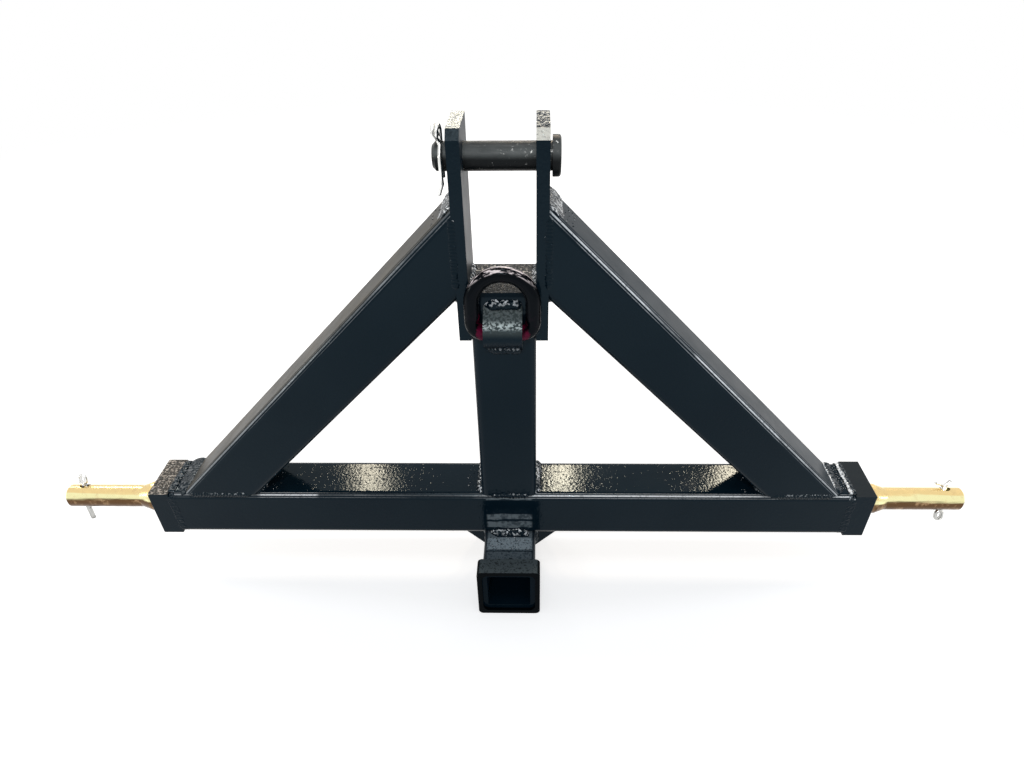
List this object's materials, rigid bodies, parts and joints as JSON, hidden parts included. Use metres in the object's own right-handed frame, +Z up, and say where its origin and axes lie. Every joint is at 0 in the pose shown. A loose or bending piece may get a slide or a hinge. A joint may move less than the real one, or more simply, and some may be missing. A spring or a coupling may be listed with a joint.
{
  "type": "three point quick hitch",
  "caption": "Welded steel A-frame hitch with lower link pins, a top link mast with clipped pin, a lashing ring and a square receiver socket.",
  "frame": {"origin": "middle of the crossbar, on the line through both lower link pins", "axes": "+X to the right along the lower link pins, +Y away from the receiver's mouth towards the tractor, +Z up along the mast"},
  "size_m": [1.122, 0.156, 0.5508],
  "materials": {
    "frame_enamel": "thick gloss blue-black enamel with orange peel",
    "weld_enamel": "gloss enamel over rippled weld beads",
    "gold_zinc": "yellow passivated zinc plate",
    "bright_steel": "bright zinc plated wire",
    "pin_enamel": "worn black paint, semi-matt",
    "ring_enamel": "red paint with black overspray, gloss"
  },
  "bodies": {
    "frame": {"centre_post_tube": "frame_enamel", "collar_tack_welds": "weld_enamel", "crossbar_tube": "frame_enamel", "left_brace_foot_welds": "weld_enamel", "left_brace_head_welds": "weld_enamel", "left_brace_tube": "frame_enamel", "left_end_block": "frame_enamel", "left_end_block_weld": "weld_enamel", "left_gusset_welds": "weld_enamel", "left_lower_link_pin": "gold_zinc", "left_mast_plate": "frame_enamel", "left_mast_plate_welds": "weld_enamel", "left_receiver_gusset": "frame_enamel", "post_cap_plate": "frame_enamel", "post_cap_welds": "weld_enamel", "post_foot_welds": "weld_enamel", "receiver_collar": "frame_enamel", "receiver_tube": "frame_enamel", "receiver_welds": "weld_enamel", "right_brace_foot_welds": "weld_enamel", "right_brace_head_welds": "weld_enamel", "right_brace_tube": "frame_enamel", "right_end_block": "frame_enamel", "right_end_block_weld": "weld_enamel", "right_gusset_welds": "weld_enamel", "right_lower_link_pin": "gold_zinc", "right_mast_plate": "frame_enamel", "right_mast_plate_welds": "weld_enamel", "right_receiver_gusset": "frame_enamel", "ring_bracket": "frame_enamel", "ring_bracket_welds": "weld_enamel"},
    "top_pin": {"top_link_pin": "pin_enamel"},
    "pin_clip": {"top_pin_clip": "bright_steel"},
    "ring": {"lashing_ring": "ring_enamel"}
  },
  "joints": [
    {"name": "top_pin_slide", "type": "slide", "parent": "frame", "child": "top_pin", "axis": [1, 0, 0], "range_m": [-0.0022, 0.0052]},
    {"name": "clip_pull", "type": "slide", "parent": "top_pin", "child": "pin_clip", "axis": [0, 0, 1], "range_m": [0, 0.05]},
    {"name": "ring_swing", "type": "hinge", "parent": "frame", "child": "ring", "pos_m": [0, -0.043, 0.262], "axis": [1, 0, 0], "range_deg": [0, 175]}
  ]
}
